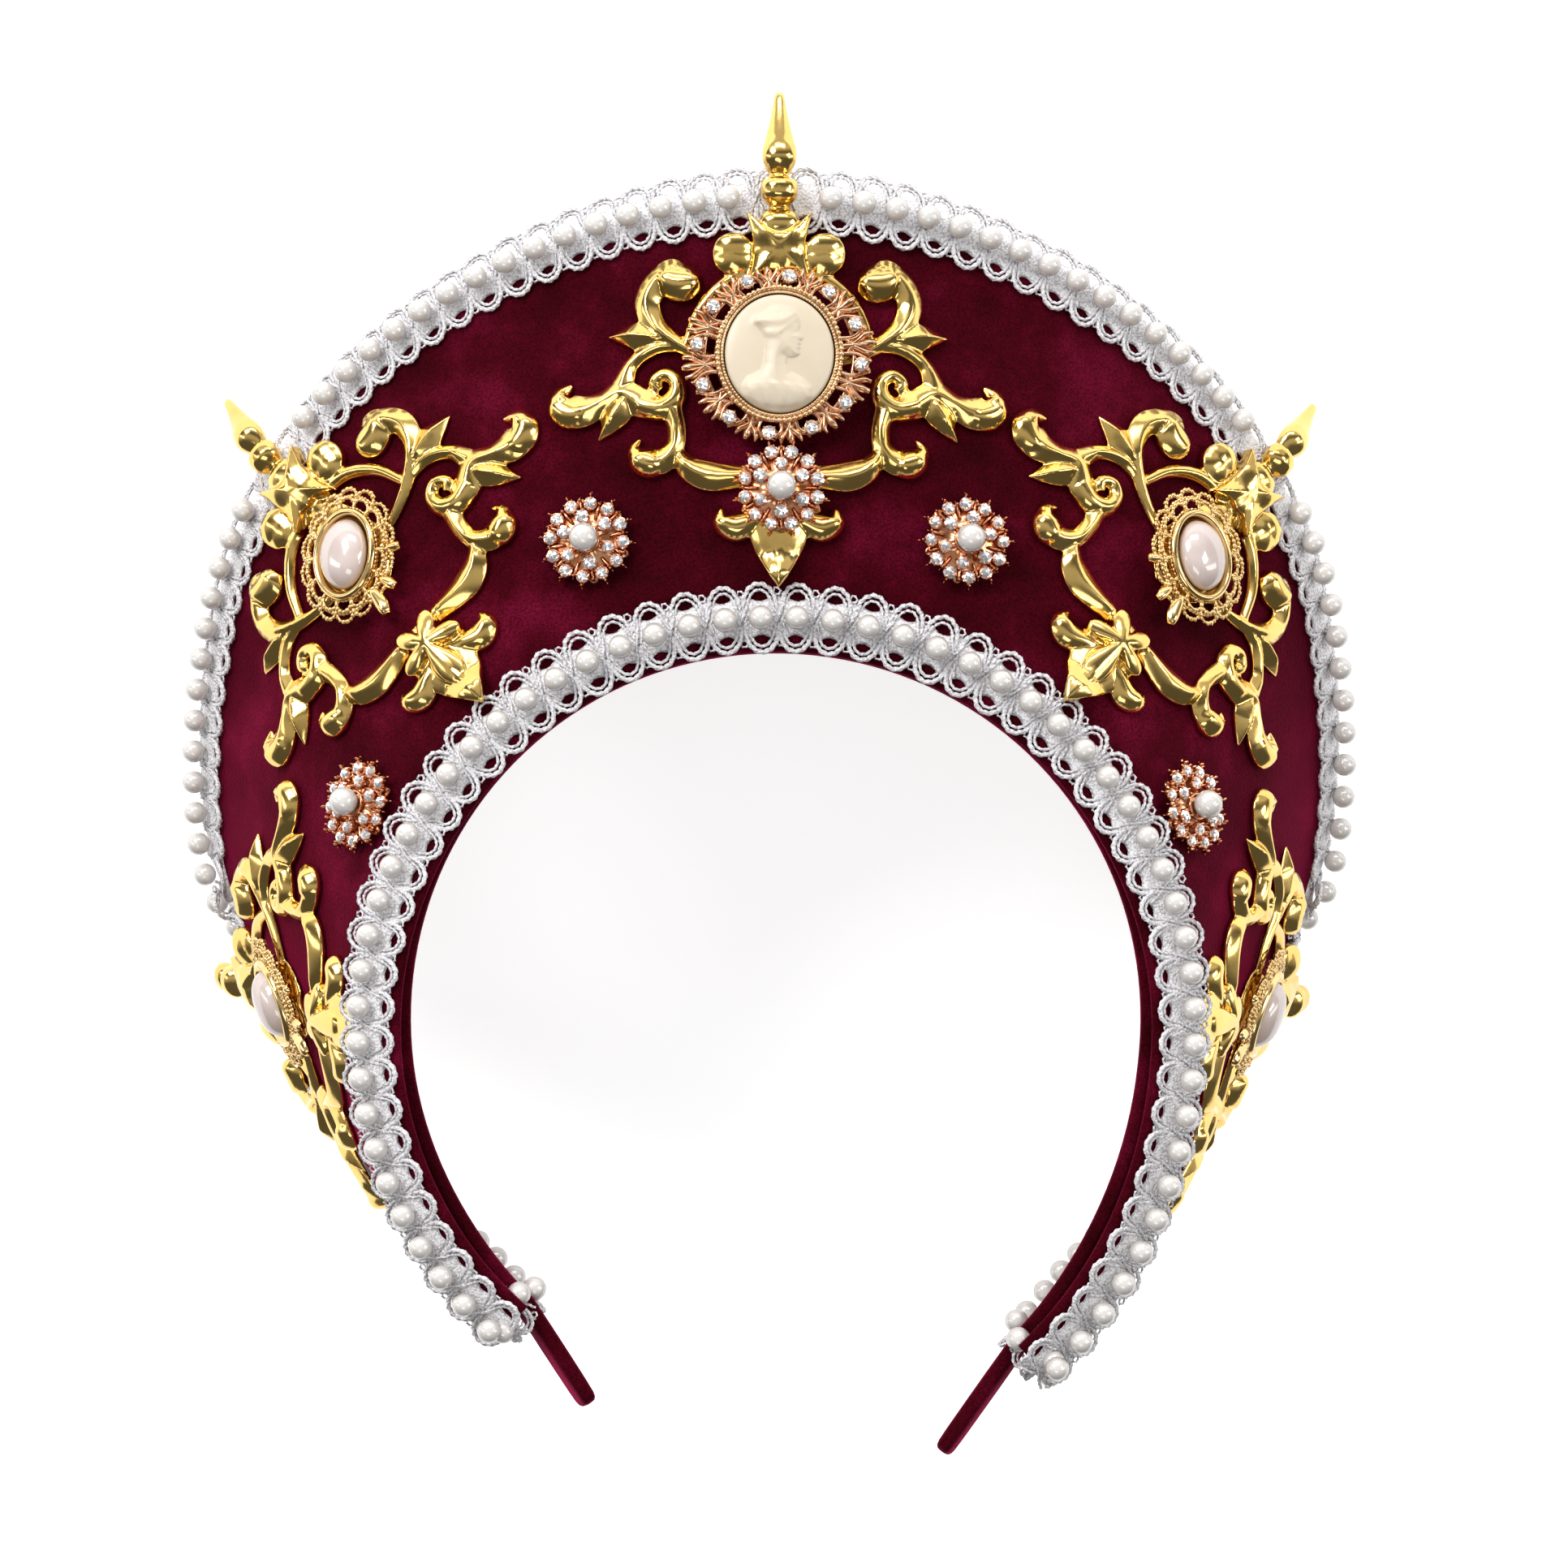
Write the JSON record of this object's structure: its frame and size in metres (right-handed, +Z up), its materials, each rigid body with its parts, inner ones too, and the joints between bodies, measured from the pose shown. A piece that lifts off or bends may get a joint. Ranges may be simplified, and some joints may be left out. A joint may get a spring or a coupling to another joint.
{
  "type": "french hood headpiece",
  "caption": "Tudor-style french hood: burgundy velvet crescent on a headband, edged with lace and pearls, with gold scroll ornaments, a cameo, pearl cabochons and rhinestone flowers",
  "frame": {"origin": "centre of the bounding box, on the floor the hood rests on", "axes": "the hood lies on its back, its face up: +X to the right of one who looks at the face, +Y to the crown, +Z up"},
  "size_m": [0.2378, 0.2478, 0.1134],
  "materials": {
    "velvet": "dark burgundy velvet pile with a soft sheen",
    "lace": "white corded lace trim",
    "pearl": "pearlescent white with a faint pink cast",
    "polished_gold": "stamped metal in polished gold colour",
    "rose_gold": "cast filigree in rose gold colour with clear stones",
    "cameo_ivory": "carved ivory-coloured cameo, satin"
  },
  "bodies": {
    "root": {"hood_panel": "velvet", "headband": "velvet", "band_trim_lace": "lace", "rim_trim_lace": "lace", "band_trim_pearls": "pearl", "rim_pearls_left_end": "pearl", "rim_pearls_left_side": "pearl", "rim_pearls_left_top": "pearl", "rim_pearls_right_top": "pearl", "rim_pearls_right_side": "pearl", "rim_pearls_right_end": "pearl", "scroll_centre": "polished_gold", "scroll_upper_left": "polished_gold", "scroll_upper_right": "polished_gold", "scroll_lower_left": "polished_gold", "scroll_lower_right": "polished_gold", "cameo_setting": "rose_gold", "cameo": "cameo_ivory", "cabochon_setting_upper_left": "polished_gold", "cabochon_upper_left": "pearl", "cabochon_setting_upper_right": "polished_gold", "cabochon_upper_right": "pearl", "cabochon_setting_lower_left": "polished_gold", "cabochon_lower_left": "pearl", "cabochon_setting_lower_right": "polished_gold", "cabochon_lower_right": "pearl", "flower_brooch_centre": "rose_gold", "flower_pearl_centre": "pearl", "flower_brooch_mid_left": "rose_gold", "flower_pearl_mid_left": "pearl", "flower_brooch_mid_right": "rose_gold", "flower_pearl_mid_right": "pearl", "flower_brooch_low_left": "rose_gold", "flower_pearl_low_left": "pearl", "flower_brooch_low_right": "rose_gold", "flower_pearl_low_right": "pearl"}
  },
  "joints": []
}
